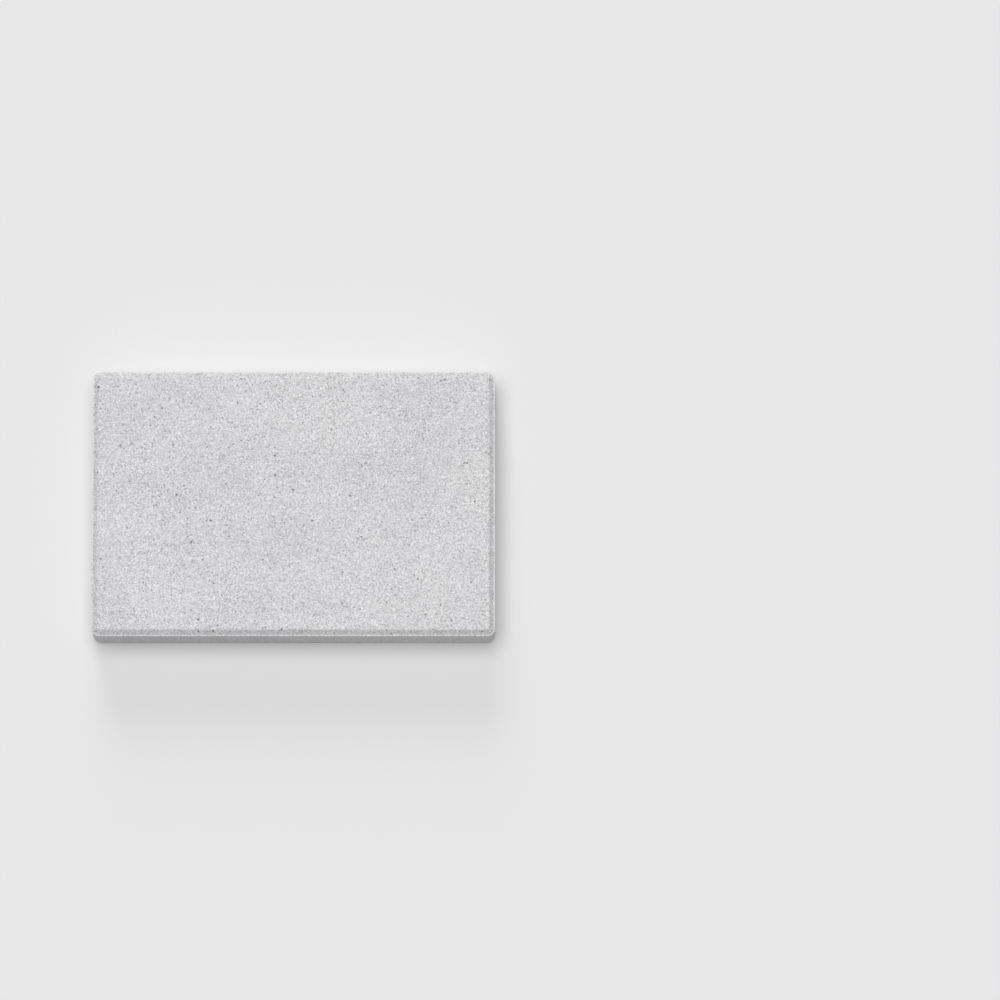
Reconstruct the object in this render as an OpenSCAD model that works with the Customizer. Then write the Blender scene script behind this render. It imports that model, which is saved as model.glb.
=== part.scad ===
// Concrete paving slab, pressed as one piece: a flat walking face with a chamfer all round it,
// a narrow level land at the foot of the chamfer, plumb sides, rounded upright corners and a flat bed.
// Millimetres. +Z is up, +X runs along the length, and the origin is the middle of the bed.

/* [Slab] */
// Length of the slab: a 450 mm laying module less one joint
slab_length = 446; // [280:1:900]
// Width of the slab: a 300 mm laying module less one joint
slab_width = 296; // [140:1:600]
// Thickness from the bed to the walking face
slab_thickness = 60; // [35:1:120]

/* [Edges] */
// Radius of the upright corners
corner_radius = 9; // [3:0.5:25]
// Width of the level land that the press leaves between the chamfer and the wall
land_width = 1.8; // [0.6:0.1:5]
// Width of the chamfer inside the land, seen from above
chamfer_width = 5; // [2:0.5:15]
// Depth of the chamfer, from the walking face down to the land
chamfer_depth = 5; // [2:0.5:15]
// Radius that eases the chamfer into the walking face
easing_radius = 1.5; // [0.2:0.1:3]
// Radius that eases the land into the wall
arris_radius = 0.8; // [0.2:0.1:3]

/* [Hidden] */
$fn = 96;

// Straight steps along each eased edge
easing_steps = 5;
// Height of the land above the bed
land_height = slab_thickness - chamfer_depth;
// The arris takes at most half of the land, so that some of it stays level
land_arris = min(arris_radius, land_width / 2);
// Tilt of the chamfer from the level, and the angle above the level that it faces
chamfer_tilt = atan2(chamfer_depth, chamfer_width);
chamfer_facing = 90 - chamfer_tilt;
// How far the easing arc runs over the walking face, inside the chamfer's upper edge
easing_run = easing_radius * tan(chamfer_tilt / 2);
// How far the edge reaches in from the wall
edge_width = land_width + chamfer_width + easing_run;

// Points of an arc round a centre, between two angles above the level
function arc(centre, radius, from, to) = [
    for (step = [0 : easing_steps])
        let (angle = from + (to - from) * step / easing_steps)
            centre + radius * [cos(angle), sin(angle)]
];

// Outline of one side, from the bed up to the walking face, for a wall that stands at `reach`
function side_outline(reach) = concat(
    [[reach, 0]],
    arc([reach - land_arris, land_height - land_arris], land_arris, 0, 90),
    [[reach - land_width, land_height]],
    arc([reach - edge_width, slab_thickness - easing_radius], easing_radius, chamfer_facing, 90)
);

// Upright section from the middle out to a wall at `reach`
module half_section(reach) {
    far_inside = -2 * (reach + edge_width);
    intersection() {
        polygon(concat([[far_inside, 0]], side_outline(reach), [[far_inside, slab_thickness]]));
        square([reach, slab_thickness]);
    }
}

// Bar along X with the chamfered section between walls at both sides
module chamfered_bar(length, width) {
    rotate([90, 0, 90])
        linear_extrude(length, center = true) {
            half_section(width / 2);
            mirror([1, 0]) half_section(width / 2);
        }
}

// Block with rounded upright corners that carry the land and the chamfer round as a ring and a cone
module rounded_block() {
    corner_x = slab_length / 2 - corner_radius;
    corner_y = slab_width / 2 - corner_radius;
    translate([-slab_length / 2, -corner_y, 0])
        cube([slab_length, 2 * corner_y, slab_thickness]);
    translate([-corner_x, -slab_width / 2, 0])
        cube([2 * corner_x, slab_width, slab_thickness]);
    for (x = [-corner_x, corner_x], y = [-corner_y, corner_y])
        translate([x, y, 0])
            rotate_extrude() half_section(corner_radius);
}

// The slab is what the two chamfered bars and the rounded block share
module slab() {
    color([0.82, 0.82, 0.83])
        intersection() {
            chamfered_bar(slab_length, slab_width);
            rotate(90) chamfered_bar(slab_width, slab_length);
            rounded_block();
        }
}

slab();
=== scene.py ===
# %% [markdown]
# # A concrete paving slab
# One light-grey slab of pressed concrete, lying on its bed: a flat walking face, a chamfer all
# round it, plumb sides and rounded upright corners. The solid model already holds those forms at
# their real size. What it lacks is everything that says concrete: sand grains, pinholes, worn
# edges, nicks and the open texture of the sides. This lesson lays a fine numpy skin over the
# solid and finishes it with procedural materials.

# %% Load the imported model
import math
import bpy
import numpy as np
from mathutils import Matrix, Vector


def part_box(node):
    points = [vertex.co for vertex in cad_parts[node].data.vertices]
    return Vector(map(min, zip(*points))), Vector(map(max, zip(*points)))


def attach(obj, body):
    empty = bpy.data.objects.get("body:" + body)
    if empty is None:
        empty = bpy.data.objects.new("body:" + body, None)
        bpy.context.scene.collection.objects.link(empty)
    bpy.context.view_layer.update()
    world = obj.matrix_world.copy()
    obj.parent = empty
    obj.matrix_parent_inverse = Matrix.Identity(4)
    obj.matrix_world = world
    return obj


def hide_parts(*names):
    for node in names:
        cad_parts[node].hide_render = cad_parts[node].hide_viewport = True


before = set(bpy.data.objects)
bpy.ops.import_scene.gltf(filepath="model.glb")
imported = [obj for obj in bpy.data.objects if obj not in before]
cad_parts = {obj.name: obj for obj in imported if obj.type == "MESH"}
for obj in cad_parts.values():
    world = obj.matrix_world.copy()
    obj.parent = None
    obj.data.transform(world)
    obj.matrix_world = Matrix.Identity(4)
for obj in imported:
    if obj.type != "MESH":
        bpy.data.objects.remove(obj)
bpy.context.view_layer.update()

# %% [markdown]
# ## The sizes that drive the skin
# Length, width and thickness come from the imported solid, so the skin follows it. The edge sizes
# are those of the solid too: a chamfer as deep as it is wide, a narrow level land outside it, where
# the press stops short of the mould, and upright corners a little rounder than both together. Only
# the upper edge of the chamfer is rounder than the solid's, because feet wear it down.

# %% Measure the slab and name its edges
MM = 0.001
slab_low, slab_high = (np.array(corner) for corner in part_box("slab"))
HALF_LENGTH, HALF_WIDTH, THICKNESS = slab_high
CORNER_RADIUS = 9 * MM
CHAMFER = 5 * MM
LAND_WIDTH = 1.8 * MM
EASING_RADIUS = 3 * MM
ARRIS_RADIUS = 0.8 * MM
LEVEL, CHAMFER_FACING, UPRIGHT = 0, math.radians(45), math.radians(90)
EDGE_WIDTH = LAND_WIDTH + CHAMFER + EASING_RADIUS * math.tan(CHAMFER_FACING / 2)
LAND_HEIGHT = THICKNESS - CHAMFER
print("slab in mm:", np.round((slab_high - slab_low) / MM, 2), "land at", round(LAND_HEIGHT / MM, 2))

# %% [markdown]
# ## The section of an edge
# A press stamps the chamfer and a steel mould shapes the side, so every edge of the slab has one
# section. It could be bevelled with a modifier, but a written profile gives exact control of where
# the rings fall: close together on the eased edges and in the hollow corner at the foot of the
# chamfer, wider on the flats. Each ring is kept as its inset from the wall, its height, and the way
# that the surface faces there.

# %% Profile from the field, over the chamfer and land and down the wall to the bed
EASING_STEPS = 4
SLOPE_SHARES = np.array([0.15, 0.31, 0.47, 0.63, 0.79, 0.94])
LAND_SHARES = np.array([0.25, 0.62])
WALL_STEPS = 25
WALL_CROWDING = 0.11
BED_INSETS = np.array([1.2, 2.6, 5.0]) * MM


def arc_rings(inset, height, radius, start, end):
    """Rings of an eased edge: centre + radius * (cos a, sin a), which is also the way they face."""
    angles = np.linspace(start, end, EASING_STEPS + 1)
    outward, upward = np.cos(angles), np.sin(angles)
    return np.column_stack([inset - radius * outward, height + radius * upward, outward, upward])


def line_rings(start, end, shares, facing):
    """Rings of a flat: the points at the given shares of the way between two rings."""
    rings = start + shares[:, None] * (end - start)
    rings[:, 2:] = math.cos(facing), math.sin(facing)
    return rings


def edge_profile():
    """Rings of the edge from the field to the bed, as columns inset, height, outward and upward.

    The upper arc turns down into the chamfer, the slope ends in a hollow corner, the land runs out
    level, the lower arc turns it down into the wall, and the wall drops to the bed. A sine crowds
    the wall's rings towards its two edges.
    """
    upper = arc_rings(EDGE_WIDTH, THICKNESS - EASING_RADIUS, EASING_RADIUS, UPRIGHT, CHAMFER_FACING)
    lower = arc_rings(ARRIS_RADIUS, LAND_HEIGHT - ARRIS_RADIUS, ARRIS_RADIUS, UPRIGHT, LEVEL)
    hollow_facing = (CHAMFER_FACING + UPRIGHT) / 2
    hollow = np.array([[LAND_WIDTH, LAND_HEIGHT, math.cos(hollow_facing), math.sin(hollow_facing)]])
    slope = line_rings(upper[-1], hollow[0], SLOPE_SHARES, CHAMFER_FACING)
    land = line_rings(hollow[0], lower[0], LAND_SHARES, UPRIGHT)
    drop = np.linspace(0, 1, WALL_STEPS + 1)[1:]
    drop = drop - WALL_CROWDING * np.sin(2 * math.pi * drop)
    wall = line_rings(lower[-1], np.array([0, 0, 1, 0]), drop, LEVEL)
    bed = np.column_stack([BED_INSETS, np.zeros((len(BED_INSETS), 2)), np.full(len(BED_INSETS), -1)])
    return np.concatenate([upper, slope, hollow, land, lower, wall, bed])


profile = edge_profile()
RINGS = len(profile)
HOLLOW_RING = EASING_STEPS + 1 + len(SLOPE_SHARES)
ARRIS_RING = HOLLOW_RING + len(LAND_SHARES) + 1 + EASING_STEPS // 2
WALL_END_RING = RINGS - len(BED_INSETS) - 1
print("rings in the edge profile:", RINGS, "with the arris at ring", ARRIS_RING)

# %% [markdown]
# ## The walk round the slab
# The profile is carried along the slab's outline. A rounded rectangle is easiest to walk as an
# inner rectangle plus a facing: along a side the foot moves and the facing stays, and at a corner
# the foot stays and the facing turns. A ring at any inset is then foot + (radius - inset) * facing,
# so the chamfer keeps its width round the corners without any special case.

# %% Outline walked anticlockwise, as feet and facings
RIM_STEP = 1.05 * MM
CORNER_STEPS = 12
FOOT = np.array([HALF_LENGTH - CORNER_RADIUS, HALF_WIDTH - CORNER_RADIUS])
SIDE_STEPS = [2 * round(length / RIM_STEP) for length in FOOT]
CORNERS = np.array([[-1, -1], [1, -1], [1, 1], [-1, 1]]) * FOOT


def walk_outline():
    """Foot, facing angle, side number and field partner of each point of the outline.

    Side k is walked from the middle of corner k to the middle of corner k + 1, and faces k quarter
    turns from -Y. Its facing turns over the two half corners, and its foot moves along the run
    between them. Every second point of a run has a partner in the field's border, and a whole
    corner shares one partner, the field's own corner.
    """
    half = CORNER_STEPS // 2
    turn = np.arange(half) / half * math.pi / 4
    feet, angles, sides, partners = [], [], [], []
    first = 0
    for side, (start, end) in enumerate(zip(CORNERS, np.roll(CORNERS, -1, 0))):
        steps = SIDE_STEPS[side % 2]
        share = np.arange(steps)[:, None] / steps
        facing = (side - 1) * math.pi / 2
        feet += [np.tile(start, (half, 1)), start + share * (end - start), np.tile(end, (half, 1))]
        angles += [facing - math.pi / 4 + turn, np.full(steps, facing), facing + turn]
        sides += [np.full(steps + CORNER_STEPS, side)]
        partners += [np.full(half, first), first + np.arange(steps) // 2]
        first += steps // 2
        partners += [np.full(half, first)]
    partners = np.concatenate(partners) % first
    return np.concatenate(feet), np.concatenate(angles), np.concatenate(sides), partners


feet, facing_angles, side_of, partner = walk_outline()
facings = np.column_stack([np.cos(facing_angles), np.sin(facing_angles)])
ROUND = len(feet)
print("points round the slab:", ROUND, "with steps along the sides of", SIDE_STEPS)

# %% [markdown]
# ## The plain skin
# Two surfaces make the skin. The rim is the profile carried along the walk: one long grid that
# closes on itself. The field is an ordinary grid over the flat walking face, with cells twice as
# large, because a face needs fewer points than an edge that shows against the light.

# %% Rim and field before any wear
FIELD_INSET = CORNER_RADIUS + 1.5 * MM


def sweep_profile():
    """Points and facings of the rim: point (u, v) is foot(u) + (radius - inset(v)) * facing(u),
    at height(v), and it faces outward(v) * facing(u) with upward(v)."""
    inset, height, outward, upward = profile.T
    reach = CORNER_RADIUS - inset
    points = np.empty((ROUND, RINGS, 3))
    points[..., :2] = feet[:, None] + reach[:, None] * facings[:, None]
    points[..., 2] = height
    normals = np.empty_like(points)
    normals[..., :2] = outward[:, None] * facings[:, None]
    normals[..., 2] = upward
    return points, normals


def field_grid():
    """Points of the walking face: a level grid of even steps inside the eased edge."""
    xs = np.linspace(-1, 1, SIDE_STEPS[0] // 2 + 1) * (HALF_LENGTH - FIELD_INSET)
    ys = np.linspace(-1, 1, SIDE_STEPS[1] // 2 + 1) * (HALF_WIDTH - FIELD_INSET)
    points = np.empty((len(xs), len(ys), 3))
    points[..., 0] = xs[:, None]
    points[..., 1] = ys
    points[..., 2] = THICKNESS
    return points


rim_plain, rim_facing = sweep_profile()
field_plain = field_grid()
print("rim grid:", rim_plain.shape[:2], "field grid:", field_plain.shape[:2])

# %% [markdown]
# ## Random fields for the wear
# Concrete is never quite level or quite straight. The unevenness is a smooth random field: fixed
# random numbers on a lattice, blended between neighbours. Adding it at half the size and half the
# strength a few times gives both broad waves and fine crumbs.

# %% Lattice noise as whole arrays
BIT_MIX = np.array([73856093, 19349663, 83492791])
SEED_MIX = 668265263
SCRAMBLE = 73244475
LOW_BITS = 0xFFFFFFFF
HALF_WORD = 16


def random_at(cells, seed):
    """A fixed number from -1 to 1 for each whole-numbered cell, made by mixing its bits."""
    mixed = (np.bitwise_xor.reduce(cells * BIT_MIX, axis=-1) + seed * SEED_MIX) & LOW_BITS
    for _ in range(2):
        mixed = ((mixed ^ (mixed >> HALF_WORD)) * SCRAMBLE) & LOW_BITS
    return (mixed ^ (mixed >> HALF_WORD)) / LOW_BITS * 2 - 1


def lattice_noise(points, cell, seed):
    """Smooth field from -1 to 1: the eight corners of each lattice cell, blended by a smooth step."""
    scaled = points / cell
    corner = np.floor(scaled).astype(np.int64)
    share = scaled - corner
    share = share * share * (3 - 2 * share)
    total = np.zeros(points.shape[:-1])
    for step in np.ndindex(2, 2, 2):
        weight = np.where(step, share, 1 - share).prod(-1)
        total += weight * random_at(corner + step, seed)
    return total


def layered_noise(points, cell, seed, layers=3):
    """Lattice noise in layers, each half the size and half the strength of the last, within -1 to 1."""
    strengths = 0.5 ** np.arange(layers)
    noises = [lattice_noise(points, cell * strength, seed + n) for n, strength in enumerate(strengths)]
    return np.tensordot(strengths / strengths.sum(), noises, 1)


print("noise at the origin:", lattice_noise(np.zeros((1, 3)), MM, 1).round(3))

# %% [markdown]
# ## Wear in the shape
# Three things are worked into the mesh itself, because they show in the outline and in low light.
# The whole skin is slightly uneven. The sides are coarser, with upright drag marks where the mould
# was drawn off. And the edges are nicked: a chip is a scoop, so every point inside an ellipsoid is
# pushed out to its surface, which leaves a hollow with a crisp border. All of it cuts inwards, so
# the slab keeps its size.

# %% Unevenness of the face, the chamfer and the sides
FACE_WAVE = np.array([70, 45, 45]) * MM
FACE_WAVE_DEPTH = 0.10 * MM
FACE_CRUMB = 5 * MM
FACE_CRUMB_DEPTH = 0.05 * MM
SIDE_CRUMB = np.array([6, 6, 7]) * MM
SIDE_CRUMB_DEPTH = 0.18 * MM
DRAG_MARK = np.array([2.6, 2.6, 45]) * MM
DRAG_MARK_DEPTH = 0.10 * MM
ARRIS_REACH = 1.1 * MM
ARRIS_CRUMB = 2.4 * MM
ARRIS_CRUMB_DEPTH = 0.10 * MM


def pressed_unevenness(points):
    """Depth below the true surface on the pressed faces: broad waves plus fine crumbs, from 0 down."""
    waves = FACE_WAVE_DEPTH * (1 + layered_noise(points, FACE_WAVE, seed=11, layers=2))
    crumbs = FACE_CRUMB_DEPTH * (1 + layered_noise(points, FACE_CRUMB, seed=21))
    return waves + crumbs


def moulded_unevenness(points):
    """Depth below the true surface on the moulded sides: open crumbs plus upright drag marks."""
    crumbs = SIDE_CRUMB_DEPTH * (1 + layered_noise(points, SIDE_CRUMB, seed=31))
    drags = DRAG_MARK_DEPTH * (1 + lattice_noise(points, DRAG_MARK, seed=41))
    return crumbs + drags


ring_steps = np.linalg.norm(np.diff(profile[:, :2], axis=0), axis=-1)
ring_travel = np.concatenate([[0], np.cumsum(ring_steps)])
near_arris = np.exp(-(((ring_travel - ring_travel[ARRIS_RING]) / ARRIS_REACH) ** 2))
side_share = np.clip(profile[:, 2] - profile[:, 3], 0, 1)
rim_depth = (1 - side_share) * pressed_unevenness(rim_plain) + side_share * moulded_unevenness(rim_plain)
arris_crumbs = 1 + layered_noise(rim_plain, ARRIS_CRUMB, seed=51, layers=2)
rim_depth += near_arris * ARRIS_CRUMB_DEPTH * arris_crumbs
rim_depth[:, WALL_END_RING + 1:] = 0
rim = rim_plain - rim_facing * rim_depth[..., None]
field = field_plain.copy()
field[..., 2] -= pressed_unevenness(field_plain)
print("deepest unevenness in mm:", round(rim_depth.max() / MM, 2))

# %% Chips on the arris and crumbled spots on the bed edge
# Chips of the far long edge: place along the length, width, bite and drop down the wall, in mm.
FAR_EDGE_CHIPS = (
    (-105.5, 7.2, 3.2, 4.0),
    (-93.4, 3.4, 1.8, 2.4),
    (50.0, 8.0, 2.6, 3.2),
    (197.2, 5.6, 1.2, 1.8),
)
# Nicks scattered by chance: how many, at what height, and the widest.
SCATTERED_NICKS = ((70, LAND_HEIGHT, 3.6 * MM), (46, 0, 6.5 * MM))
NICK_SEED = 4
NICK_SHARES = (0.35, 1)
NICK_BITES = (0.16, 0.34)
# How steeply a chip turns bare, and dark with painted shade, from its border to its middle.
BARE_RISE = 3
CHIP_CRUMB = 1.7 * MM
CHIP_ROUGHNESS = 0.35
HALF_CHORD = math.sqrt(3) / 2
# How bare each point of a chip is; it darkens the chip as a fresh break and partly as painted shade.
broken_and_shaded = np.zeros((ROUND, RINGS))
chip_crumbs = 1 + CHIP_ROUGHNESS * lattice_noise(rim_plain, CHIP_CRUMB, seed=61)


def scoop(place, outward, height, width, bite, drop):
    """Breaks a chip out of the rim: points inside an ellipsoid move out to its surface.

    The ellipsoid's middle lies one bite outside the wall and its depth is two bites, so it cuts one
    bite deep. Where it meets the wall it has the half chord of its widest section, so its other two
    axes are the half-width and the drop divided by that.
    """
    axes = np.array([[-outward[1], outward[0], 0], [outward[0], outward[1], 0], [0, 0, 1]])
    halves = np.array([width / 2 / HALF_CHORD, 2 * bite, drop / HALF_CHORD])
    middle = np.array([*place, height]) + axes[1] * bite
    local = (rim - middle) @ axes.T / halves
    distance = np.linalg.norm(local, axis=-1) * chip_crumbs
    inside = distance < 1
    rim[inside] = (local[inside] / distance[inside, None] * halves) @ axes + middle
    broken_and_shaded[inside] = np.maximum(broken_and_shaded[inside], np.clip(BARE_RISE * (1 - distance[inside]), 0, 1))


for place, width, bite, drop in FAR_EDGE_CHIPS:
    scoop((place * MM, HALF_WIDTH), (0, 1), LAND_HEIGHT, width * MM, bite * MM, drop * MM)
chance = np.random.default_rng(NICK_SEED)
for count, height, widest in SCATTERED_NICKS:
    for spot in chance.integers(ROUND, size=count):
        width = widest * chance.uniform(*NICK_SHARES) ** 2
        place = feet[spot] + CORNER_RADIUS * facings[spot]
        bite = width * chance.uniform(*NICK_BITES)
        scoop(place, facings[spot], height, width, bite, width / 2)
print("points broken out:", int((broken_and_shaded > 0).sum()))

# %% [markdown]
# ## One closed mesh
# The rim's grid closes on itself, the field's grid fills the middle, and a strip of triangles zips
# the two together where two rim points meet one field point. One many-sided face closes the bed.

# %% Number the points and list the faces
rim_number = np.arange(ROUND * RINGS).reshape(ROUND, RINGS)
field_number = ROUND * RINGS + np.arange(field[..., 0].size).reshape(field.shape[:2])
field_border = np.concatenate([
    field_number[:-1, 0],
    field_number[-1, :-1],
    field_number[:0:-1, -1],
    field_number[0, :0:-1],
])


def grid_faces(number):
    """Four-sided faces of a grid of point numbers, in the order (u, v), (u+1, v), (u+1, v+1), (u, v+1)."""
    corners = (number[:-1, :-1], number[1:, :-1], number[1:, 1:], number[:-1, 1:])
    return np.stack(corners, -1).reshape(-1, 4)


def zip_faces(loop, partners):
    """Triangles between two closed loops: one on each edge, and one wherever the partner moves on."""
    ahead, partner_ahead = np.roll(loop, -1), np.roll(partners, -1)
    on_edges = np.stack([loop, ahead, partners], -1)
    on_moves = np.stack([partners, ahead, partner_ahead], -1)[partners != partner_ahead]
    return np.concatenate([on_edges, on_moves])


rim_faces = grid_faces(np.concatenate([rim_number, rim_number[:1]]))[:, ::-1]
face_spot = np.repeat(np.arange(ROUND), RINGS - 1)
face_ring = np.tile(np.arange(RINGS - 1), ROUND)
field_faces = grid_faces(field_number)
zip_triangles = zip_faces(rim_number[:, 0], field_border[partner])
bed_face = rim_number[::-1, -1]
triangles = 2 * len(rim_faces) + 2 * len(field_faces) + len(zip_triangles) + ROUND - 2
print("triangles in all:", triangles)

# %% [markdown]
# ## A flat map of the surface
# Anyone who bakes the finish into a picture needs a map. An automatic one would cut the skin into
# scraps, so its layout is given: the walking face and chamfer seen from above, as large as fits,
# the four sides as strips below it, and the bed small in a corner.

# %% Lay the surface out flat
FACE_SCALE = 0.98 / (2 * HALF_LENGTH)
FACE_MIDDLE = (0.5, 0.665)
SIDE_SCALE = 0.96 / (2 * HALF_LENGTH + 2 * HALF_WIDTH)
SIDE_PLACES = np.array([[0.01, 0.255], [0.605, 0.255], [0.01, 0.175], [0.605, 0.175]])
BED_SCALE = 0.155 / (2 * HALF_WIDTH)
BED_MIDDLE = (0.13, 0.085)


def lay_flat():
    """Map place of each face corner: seen from above for the face and chamfer, from below for the bed,
    and for a side the way walked from its first corner against the height."""
    seen_above = np.concatenate([rim_plain.reshape(-1, 3), field_plain.reshape(-1, 3)])[:, :2]
    on_face = seen_above * FACE_SCALE + FACE_MIDDLE
    on_bed = seen_above * (-BED_SCALE, BED_SCALE) + BED_MIDDLE
    wall_foot = rim_plain[:, WALL_END_RING]
    strides = np.linalg.norm(np.roll(wall_foot, -1, 0) - wall_foot, axis=-1)
    walked = np.concatenate([[0], np.cumsum(strides)])
    side = side_of[face_spot]
    side_start = walked[np.searchsorted(side_of, side)]
    along = walked[face_spot[:, None] + (0, 1, 1, 0)] - side_start[:, None]
    heights = profile[face_ring[:, None] + (1, 1, 0, 0), 1]
    on_sides = np.stack([along, heights], -1) * SIDE_SCALE + SIDE_PLACES[side][:, None]
    rim_map = on_face[rim_faces]
    is_side = (face_ring >= ARRIS_RING) & (face_ring < WALL_END_RING)
    is_bed = face_ring >= WALL_END_RING
    rim_map[is_side] = on_sides[is_side]
    rim_map[is_bed] = on_bed[rim_faces[is_bed]]
    parts = (rim_map, on_face[zip_triangles], on_face[field_faces], on_bed[bed_face])
    return np.concatenate([part.reshape(-1, 2) for part in parts])


flat_map = lay_flat()
print("map runs from", flat_map.min(0).round(3), "to", flat_map.max(0).round(3))

# %% [markdown]
# ## The skin in the scene
# The points and faces become one mesh at the origin, which takes the solid's place. How broken,
# worn or grimy the slab is could be painted by hand. Here it follows from the shape, so it is kept
# as three numbers at each point, and the finishes read them. The broken and grimy numbers also
# darken the chips and the chamfer as painted shade.

# %% Make the mesh and give it the solid's place
SHARPEST_BEND = math.radians(55)
WEAR_PATCH = 14 * MM
WEAR_LEVEL, WEAR_SWING = 0.7, 0.3
SHADE_AND_GRIME_PATCH = 22 * MM
SHADE_AND_GRIME_LEVEL, SHADE_AND_GRIME_SWING = 0.6, 0.4
FACE_SLOT, SIDE_SLOT = 0, 1
on_land = (np.arange(RINGS) > HOLLOW_RING) & (np.arange(RINGS) <= ARRIS_RING)
# Grime and painted shade grow over the eased edge, are full on the slope and about half in the hollow.
on_slope = (np.arange(RINGS) <= HOLLOW_RING) * profile[:, 2] / math.cos(CHAMFER_FACING)


def slab_mesh():
    """The skin as a mesh, with its map, its two finishes, and how broken, worn or grimy each point is; the
    broken and grimy ones also get painted shade.
    """
    mesh = bpy.data.meshes.new("slab_skin")
    points = np.concatenate([rim.reshape(-1, 3), field.reshape(-1, 3)])
    faces = rim_faces.tolist() + zip_triangles.tolist() + field_faces.tolist() + [bed_face.tolist()]
    mesh.from_pydata(points.tolist(), [], faces)
    mesh.uv_layers.new(name="OFBake").uv.foreach_set("vector", flat_map.astype(np.float32).ravel())
    wear_patches = WEAR_LEVEL + WEAR_SWING * layered_noise(rim_plain, WEAR_PATCH, seed=71)
    worn = np.maximum(on_land, near_arris) * wear_patches
    # The chamfer's mark is partly grime and partly painted shade: it darkens the slope as if it lay in
    # shade.
    grime_and_shade = on_slope * (SHADE_AND_GRIME_LEVEL + SHADE_AND_GRIME_SWING * layered_noise(rim_plain, SHADE_AND_GRIME_PATCH, seed=81))
    for name, on_rim in (("broken_and_shaded", broken_and_shaded), ("worn", worn), ("grime_and_shade", grime_and_shade)):
        values = np.zeros(len(points), np.float32)
        values[:on_rim.size] = on_rim.ravel()
        mesh.attributes.new(name, "FLOAT", "POINT").data.foreach_set("value", values)
    slots = np.full(len(faces), FACE_SLOT, np.int32)
    slots[:len(rim_faces)][face_ring >= ARRIS_RING] = SIDE_SLOT
    slots[-1] = SIDE_SLOT
    mesh.polygons.foreach_set("material_index", slots)
    mesh.shade_smooth()
    mesh.set_sharp_from_angle(angle=SHARPEST_BEND)
    return mesh


slab_skin = bpy.data.objects.new("slab_skin", slab_mesh())
bpy.context.collection.objects.link(slab_skin)
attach(slab_skin, "root")
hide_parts("slab")
print("skin:", len(slab_skin.data.vertices), "points and", len(slab_skin.data.polygons), "faces")

# %% [markdown]
# ## A short way to write node trees
# A node tree is easier to read as a formula. One helper adds a node, sets its inputs by name and
# links whatever is another node's output, and returns the output that is wanted next.

# %% Node helpers


def fill_inputs(tree, node, inputs):
    """Sets each named or numbered input of a node, or links it where the value is a socket."""
    for name, value in inputs.items():
        if isinstance(value, bpy.types.NodeSocket):
            tree.links.new(value, node.inputs[name])
        else:
            node.inputs[name].default_value = value


def add_node(tree, kind, inputs, output=0, **settings):
    """Adds a node with its settings and inputs, and returns one of its outputs."""
    node = tree.nodes.new(kind)
    for name, value in settings.items():
        setattr(node, name, value)
    fill_inputs(tree, node, inputs)
    return node.outputs[output]


def calculate(tree, operation, *values, clamp=False):
    """One step of arithmetic on numbers or sockets."""
    return add_node(tree, "ShaderNodeMath", dict(enumerate(values)), operation=operation, use_clamp=clamp)


def ramp(tree, value, low, high, to_low=0.0, to_high=1.0):
    """Carries a value from one range to another along a smooth step, and stops at the ends."""
    inputs = {"Value": value, "From Min": low, "From Max": high, "To Min": to_low, "To Max": to_high}
    return add_node(tree, "ShaderNodeMapRange", inputs, interpolation_type="SMOOTHSTEP")


def new_group(name, inputs, outputs, output_type="NodeSocketFloat"):
    """An empty shader node group with a Vector and named number inputs, and outputs of one type."""
    group = bpy.data.node_groups.new(name, "ShaderNodeTree")
    group.interface.new_socket("Vector", in_out="INPUT", socket_type="NodeSocketVector")
    for socket in inputs:
        group.interface.new_socket(socket, in_out="INPUT", socket_type="NodeSocketFloat")
    for socket in outputs:
        group.interface.new_socket(socket, in_out="OUTPUT", socket_type=output_type)
    return group, group.nodes.new("NodeGroupInput").outputs, group.nodes.new("NodeGroupOutput")


def place_group(tree, group, inputs):
    """Places a shared group in a tree and returns its outputs."""
    node = tree.nodes.new("ShaderNodeGroup")
    node.node_tree = group
    fill_inputs(tree, node, inputs)
    return node.outputs


print("node helpers:", [helper.__name__ for helper in (add_node, calculate, ramp, new_group, place_group)])

# %% [markdown]
# ## Sand, spots and clouds
# Seen close, the face is sand set in cement: grains of well under a millimetre in many greys, a few
# larger ones, a pepper of dark grit, and pinholes between them. Such a finish could be a picture,
# but a picture is sharp at one distance only. A Voronoi texture gives every cell its own random
# number, which is just what a heap of grains is. The same texture, with only some of its cells
# chosen, makes scattered grit, grains and pinholes. The place where it is read is first pushed to
# and fro a little, so the grains are ragged. Slow noise adds the faint clouds of uneven curing, and
# the same noise drawn out adds streaks.

# %% Group: ragged places
NOISE_MIDDLE = (0.5, 0.5, 0.5)


def ragged_group():
    """Place: the given point, pushed to and fro by fine noise, so that no grain is quite round."""
    group, given, result = new_group("ragged", ["Pushes per metre", "Reach"], ["Place"], "NodeSocketVector")
    noise = {"Vector": given["Vector"], "Scale": given["Pushes per metre"], "Detail": 1.0}
    push = add_node(group, "ShaderNodeTexNoise", noise, "Color")
    push = add_node(group, "ShaderNodeVectorMath", {0: push, 1: NOISE_MIDDLE}, operation="SUBTRACT")
    push = add_node(group, "ShaderNodeVectorMath", {0: push, "Scale": given["Reach"]}, operation="SCALE")
    place = add_node(group, "ShaderNodeVectorMath", {0: push, 1: given["Vector"]}, operation="ADD")
    fill_inputs(group, result, {"Place": place})
    return group


ragged = ragged_group()
print("group:", ragged.name)

# %% Group: sand grains


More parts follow.
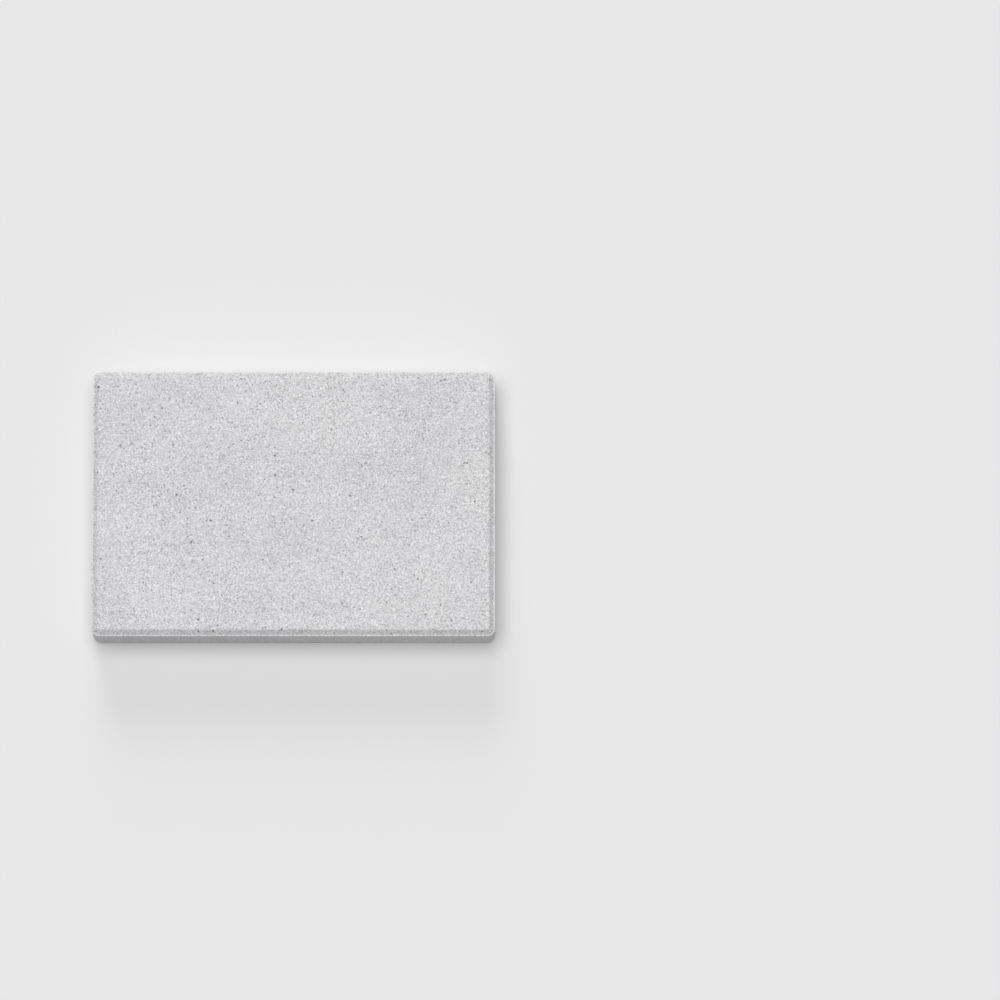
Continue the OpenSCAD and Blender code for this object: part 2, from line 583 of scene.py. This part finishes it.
def sand_group():
    """Swing: a random number from -1 to 1 for each grain. Dome: how high the grain stands, from 0 to 1."""
    group, given, result = new_group("sand", ["Grains per metre"], ["Swing", "Dome"])
    cells = group.nodes.new("ShaderNodeTexVoronoi")
    fill_inputs(group, cells, {"Vector": given["Vector"], "Scale": given["Grains per metre"]})
    pick = add_node(group, "ShaderNodeSeparateColor", {0: cells.outputs["Color"]})
    swing = calculate(group, "MULTIPLY_ADD", pick, 2.0, -1.0)
    dome = calculate(group, "SUBTRACT", 1.0, cells.outputs["Distance"], clamp=True)
    fill_inputs(group, result, {"Swing": swing, "Dome": dome})
    return group


sand = sand_group()
print("group:", sand.name)

# %% Group: scattered spots
FAINTEST_SPOT = 0.45
SPOT_CORE = 0.7


def spots_group():
    """Mask of soft-edged spots: one in each chosen Voronoi cell, and the smaller the fainter."""
    group, given, result = new_group("spots", ["Cells per metre", "Chance", "Size"], ["Mask"])
    cells = group.nodes.new("ShaderNodeTexVoronoi")
    fill_inputs(group, cells, {"Vector": given["Vector"], "Scale": given["Cells per metre"]})
    pick = add_node(group, "ShaderNodeSeparateColor", {0: cells.outputs["Color"]})
    chosen = calculate(group, "LESS_THAN", pick, given["Chance"])
    share = ramp(group, pick, 0.0, given["Chance"], FAINTEST_SPOT, 1.0)
    size = calculate(group, "MULTIPLY", share, given["Size"])
    core = calculate(group, "MULTIPLY", size, SPOT_CORE)
    spot = ramp(group, cells.outputs["Distance"], size, core)
    mask = calculate(group, "MULTIPLY", calculate(group, "MULTIPLY", chosen, spot), share)
    fill_inputs(group, result, {"Mask": mask})
    return group


spots = spots_group()
print("group:", spots.name)

# %% Group: clouds
NOISE_LOW, NOISE_HIGH = 0.25, 0.75


def clouds_group():
    """Shade: slow noise from -1 to 1, drawn out along the length and the height of the slab."""
    group, given, result = new_group("clouds", ["Clouds per metre", "Length", "Height"], ["Shade"])
    squeeze = add_node(group, "ShaderNodeCombineXYZ", {0: given["Length"], 1: 1.0, 2: given["Height"]})
    squeezed = {0: given["Vector"], 1: squeeze}
    drawn_out = add_node(group, "ShaderNodeVectorMath", squeezed, operation="DIVIDE")
    noise = {"Vector": drawn_out, "Scale": given["Clouds per metre"], "Detail": 3.0}
    slow = add_node(group, "ShaderNodeTexNoise", noise, "Fac")
    shade = ramp(group, slow, NOISE_LOW, NOISE_HIGH, -1.0, 1.0)
    fill_inputs(group, result, {"Shade": shade})
    return group


clouds = clouds_group()
print("group:", clouds.name)

# %% [markdown]
# ## The recipe for concrete
# The slab is one concrete with two finishes. They could be two node trees, but they differ only in
# amounts, so the recipe is written once and takes a finish as a list of amounts. First it collects
# the marks: sand, grit, single dark and pale grains, pores, clouds, streaks, crumbs, and the wear,
# grime and chips that the mesh keeps. Then it adds them up, once for the tone and once for the
# relief. In the tone, the hollows between grains, the pores, the crumbs' hollows, the chamfer and
# the chips are darkened as painted shade, the chamfer and chips only in part.

# %% Marks in the concrete
RAGGED = {"Pushes per metre": 750.0, "Reach": 2.6 * MM}
FINE_GRAINS = 1400.0
GRIT = {"Cells per metre": 580.0, "Chance": 0.60, "Size": 0.42}
DARK_GRAINS = {"Cells per metre": 240.0, "Chance": 0.06, "Size": 0.32}
PALE_GRAINS = {"Cells per metre": 300.0, "Chance": 0.04, "Size": 0.32}
PORE_SIZE = 0.22
CLOUD = {"Clouds per metre": 16.0, "Length": 1.6, "Height": 1.0}
DRIFT = {"Clouds per metre": 9.0, "Length": 1.0, "Height": 1.0}
CRUMBS = {"Clouds per metre": 190.0, "Length": 1.0, "Height": 1.0}
STREAKS_PER_METRE = 130.0


def concrete_marks(tree, finish):
    """All marks of a finish by name: grains on ragged places, clouds on plain ones, and the mesh's wear, and
    its grime and chips, which also carry painted shade.
    """
    place = add_node(tree, "ShaderNodeTexCoord", {}, "Object")
    grains = place_group(tree, ragged, {"Vector": place, **RAGGED})["Place"]
    pores = {"Cells per metre": finish["pores"], "Chance": finish["pore_chance"], "Size": PORE_SIZE}
    length, height = finish["streaks"]
    streaks = {"Clouds per metre": STREAKS_PER_METRE, "Length": length, "Height": height}
    marks = {}
    for name, count in (("fine", FINE_GRAINS), ("coarse", finish["coarse_grains"])):
        grain = place_group(tree, sand, {"Vector": grains, "Grains per metre": count})
        marks[name + " swing"] = grain["Swing"]
        marks[name + " dome"] = grain["Dome"]
    for name, sizes in (("grit", GRIT), ("dark", DARK_GRAINS), ("pale", PALE_GRAINS), ("pores", pores)):
        marks[name] = place_group(tree, spots, {"Vector": grains, **sizes})["Mask"]
    for name, sizes in (("cloud", CLOUD), ("streaks", streaks), ("drift", DRIFT), ("crumbs", CRUMBS)):
        marks[name] = place_group(tree, clouds, {"Vector": place, **sizes})["Shade"]
    for name in ("worn", "broken_and_shaded", "grime_and_shade"):
        marks[name] = add_node(tree, "ShaderNodeAttribute", {}, "Fac", attribute_name=name)
    return marks


def add_up(tree, start, marks, amounts):
    """A start value plus each named mark times its amount."""
    total = start
    for name, amount in amounts.items():
        total = calculate(tree, "MULTIPLY_ADD", marks[name], amount, total)
    return total


print("fine grains:", round(1 / FINE_GRAINS / MM, 2), "mm apart")

# %% Tone, cement colour and relief
PLAIN_TONE = 0.954
DARK_TO_GRIT = 1.3
PAINTED_CRUMB_SHADE = 0.05
GRAIN_WORN_OFF = 0.45
PALE_CEMENT = (0.627, 0.625, 0.648, 1.0)
WARM_CEMENT = (0.635, 0.631, 0.627, 1.0)
WARM_SHARE = 0.25
WARM_DRIFT = 0.2
GRIME_AND_SHADE_WARMTH = 0.6


def concrete_tone(tree, marks, finish):
    """Tone: a plain value, plus the grain that wear has left, plus clouds and wear, times the brightness;
    hollows, pores, chamfer and chips carry painted shade.
    """
    grain = add_up(tree, 0.0, marks, {
        "fine swing": finish["fine_swing"],
        "coarse swing": 0.04,
        # Painted shade between grains: darker in the hollows round each coarse grain, lighter on its top.
        "coarse dome": 0.2,
        "grit": -finish["pepper"],
        "dark": -DARK_TO_GRIT * finish["pepper"],
        "pale": 0.26,
        # Painted shade in the pores: darkened as if shade filled them.
        "pores": -0.42,
    })
    left_by_wear = calculate(tree, "MULTIPLY_ADD", marks["worn"], -GRAIN_WORN_OFF, 1.0)
    tone = add_up(tree, calculate(tree, "MULTIPLY_ADD", grain, left_by_wear, PLAIN_TONE), marks, {
        "cloud": 0.037,
        "streaks": 0.020,
        # Painted shade: the crumbs' hollows darker and their tops lighter.
        "crumbs": PAINTED_CRUMB_SHADE * finish["crumb"],
        "worn": 0.18,
        # Grime and painted shade: the chamfer darker, partly as if it lay in shade.
        "grime_and_shade": -0.10,
        # Chips darker: partly a bare break, partly painted shade as if they lay in shadow.
        "broken_and_shaded": -0.42,
    })
    return calculate(tree, "MULTIPLY", tone, finish["brightness"])


def cement_colour(tree, marks):
    """Cement between cool and warm: the share of warm drifts over the slab, and grime adds to it."""
    warmth = add_up(tree, WARM_SHARE, marks, {"drift": WARM_DRIFT})
    warmth = calculate(tree, "MULTIPLY_ADD", marks["grime_and_shade"], GRIME_AND_SHADE_WARMTH, warmth, clamp=True)
    # A Mix node's colours are its inputs 6 and 7, and its mixed colour is output 2.
    mixed = {0: warmth, 6: PALE_CEMENT, 7: WARM_CEMENT}
    return add_node(tree, "ShaderNodeMix", mixed, 2, data_type="RGBA")


def concrete_relief(tree, marks, finish):
    """Bumped normal: coarse grains stand one relief high, fine ones half, and pores are two deep."""
    amounts = {"fine dome": 0.5, "pores": -2.0, "crumbs": finish["crumb"]}
    height = add_up(tree, marks["coarse dome"], marks, amounts)
    return add_node(tree, "ShaderNodeBump", {"Height": height, "Distance": finish["relief"]})


print("cement from", PALE_CEMENT[:3], "to", WARM_CEMENT[:3])

# %% [markdown]
# ## The two finishes
# The walking face, chamfer and land were pressed: tight, with fine sand and pinholes. The sides slid
# along a steel mould: a little darker, coarser and more open, with upright streaks. The land and
# arris are worn paler, the chamfer is darker, partly from a little grime and partly as painted shade,
# and broken spots are bare and darker, also partly as painted shade.

# %% Pressed and moulded concrete
ROUGHNESS = 0.9
WORN_SMOOTH = 0.08
SHEEN_LEVEL = 0.3
# Brightness, swing of the fine grains, coarse grains to a metre, darkness of the grit, cells to a
# metre that may hold a pore, how many do, length and height of the streaks, how many reliefs high
# the crumbs stand, and the relief.
PRESSED = {
    "brightness": 1.0,
    "fine_swing": 0.41,
    "coarse_grains": 720.0,
    "pepper": 0.62,
    "pores": 230.0,
    "pore_chance": 0.14,
    "streaks": (9.0, 1.0),
    "crumb": 0.2,
    "relief": 0.12 * MM,
}
MOULDED = {
    "brightness": 0.95,
    "fine_swing": 0.32,
    "coarse_grains": 600.0,
    "pepper": 0.36,
    "pores": 140.0,
    "pore_chance": 0.30,
    "streaks": (1.0, 9.0),
    "crumb": 1.6,
    "relief": 0.30 * MM,
}


def concrete(name, finish):
    """A concrete finish: the cement colour times the tone, matt, a little smoother where it is worn."""
    material = bpy.data.materials.new(name)
    material.use_nodes = True
    tree = material.node_tree
    marks = concrete_marks(tree, finish)
    toned = {0: cement_colour(tree, marks), "Scale": concrete_tone(tree, marks, finish)}
    fill_inputs(tree, tree.nodes["Principled BSDF"], {
        "Base Color": add_node(tree, "ShaderNodeVectorMath", toned, operation="SCALE"),
        "Roughness": calculate(tree, "MULTIPLY_ADD", marks["worn"], -WORN_SMOOTH, ROUGHNESS),
        "Normal": concrete_relief(tree, marks, finish),
        "Specular IOR Level": SHEEN_LEVEL,
    })
    return material


slab_skin.data.materials.append(concrete("pressed concrete", PRESSED))
slab_skin.data.materials.append(concrete("moulded concrete", MOULDED))
print("finishes:", [material.name for material in slab_skin.data.materials])

# %% [markdown]
# ## Floor and light
# The slab lies on a plain pale floor. One broad soft light hangs overhead, a weak one stands low
# behind the far long edge, and the rest is even light from all round. So the far chamfer is the
# brightest, and the near and right ones are in shade. Together they light a level face at strength
# 1, so a colour renders about as it is written.

# %% Floor
FLOOR_TONE = 0.80
FLOOR_REACH = 20.0
FLOOR_POINTS = 96
FLOOR_ROUGHNESS = 0.9


def floor_disc():
    """A level disc: one face with its points at reach * (cos a, sin a), where a runs once round."""
    angles = np.linspace(0, 2 * math.pi, FLOOR_POINTS, endpoint=False)
    ring = np.column_stack([np.cos(angles), np.sin(angles), np.zeros_like(angles)]) * FLOOR_REACH
    mesh = bpy.data.meshes.new("floor")
    mesh.from_pydata(ring.tolist(), [], [list(range(len(ring)))])
    return mesh


floor = bpy.data.objects.new("floor", floor_disc())
bpy.context.collection.objects.link(floor)
floor_paint = bpy.data.materials.new("floor paint")
floor_paint.use_nodes = True
fill_inputs(floor_paint.node_tree, floor_paint.node_tree.nodes["Principled BSDF"], {
    "Base Color": (FLOOR_TONE, FLOOR_TONE, FLOOR_TONE, 1.0),
    "Roughness": FLOOR_ROUGHNESS,
    "Specular IOR Level": 0.0,
})
floor.data.materials.append(floor_paint)
print("floor reaches", FLOOR_REACH, "m")

# %% Light
AMBIENT = 0.25
# Name, direction, share of the light on a level face, and spread of each soft light.
SOFT_LIGHTS = (
    ("overhead", (-0.06, 0.05, 1.0), 0.62, math.radians(40)),
    ("behind", (-0.25, 2.1, 1.0), 0.13, math.radians(25)),
)


def soft_light(name, direction, share, spread):
    """A distant broad light that falls from a direction and gives a level face its share of light."""
    unit = np.array(direction) / np.linalg.norm(direction)
    light = bpy.data.objects.new(name, bpy.data.lights.new(name, "SUN"))
    light.data.energy = math.pi * share / unit[2]
    light.data.angle = spread
    light.rotation_euler = (math.acos(unit[2]), 0, math.atan2(unit[1], unit[0]) + math.pi / 2)
    bpy.context.collection.objects.link(light)
    print("light", name, "of strength", round(light.data.energy, 2), "from", unit.round(2))


for settings in SOFT_LIGHTS:
    soft_light(*settings)

world = bpy.data.worlds.new("studio")
world.use_nodes = True
bpy.context.scene.world = world
studio = world.node_tree
rays = studio.nodes.new("ShaderNodeLightPath").outputs
seen = calculate(studio, "MAXIMUM", rays["Is Camera Ray"], rays["Is Glossy Ray"])
seen = calculate(studio, "MAXIMUM", seen, rays["Is Transmission Ray"])
strength = ramp(studio, seen, 0.0, 1.0, AMBIENT, FLOOR_TONE)
fill_inputs(studio, studio.nodes["Background"], {"Color": (1.0, 1.0, 1.0, 1.0), "Strength": strength})
print("world light", AMBIENT, "seen as", FLOOR_TONE)

# %% [markdown]
# ## The camera
# The view is one of a long lens that leans a little from plumb, so the slab's edges stay almost
# parallel. The camera could be set by eye. Here its distance follows from the slab's length in
# pixels, and its aim from the pixel where the middle of the slab lies.

# %% Camera
PHOTO_PIXELS = 1000
ARRIS_LEFT_PX, ARRIS_RIGHT_PX = 91.7, 495.3
MIDDLE_PX = np.array([293.5, 503.7])
VIEW_TILT = math.radians(9.1)
LENS_MM, SENSOR_MM = 250, 36
FARTHEST_SEEN = 100

camera = bpy.data.objects.new("camera", bpy.data.cameras.new("camera"))
camera.data.lens = LENS_MM
camera.data.sensor_width = SENSOR_MM
pixel = 2 * HALF_LENGTH / (ARRIS_RIGHT_PX - ARRIS_LEFT_PX)
distance = LENS_MM / SENSOR_MM * PHOTO_PIXELS * pixel
across, down = (PHOTO_PIXELS / 2 - MIDDLE_PX) * pixel
aim = np.array([across, -down / math.cos(VIEW_TILT), LAND_HEIGHT])
camera.location = aim + distance * np.array([0, -math.sin(VIEW_TILT), math.cos(VIEW_TILT)])
camera.rotation_euler = (VIEW_TILT, 0, 0)
camera.data.clip_end = FARTHEST_SEEN
bpy.context.collection.objects.link(camera)
bpy.context.scene.camera = camera
bpy.context.scene.view_settings.view_transform = "Standard"
print("camera", round(distance, 2), "m away, one pixel is", round(pixel / MM, 3), "mm")
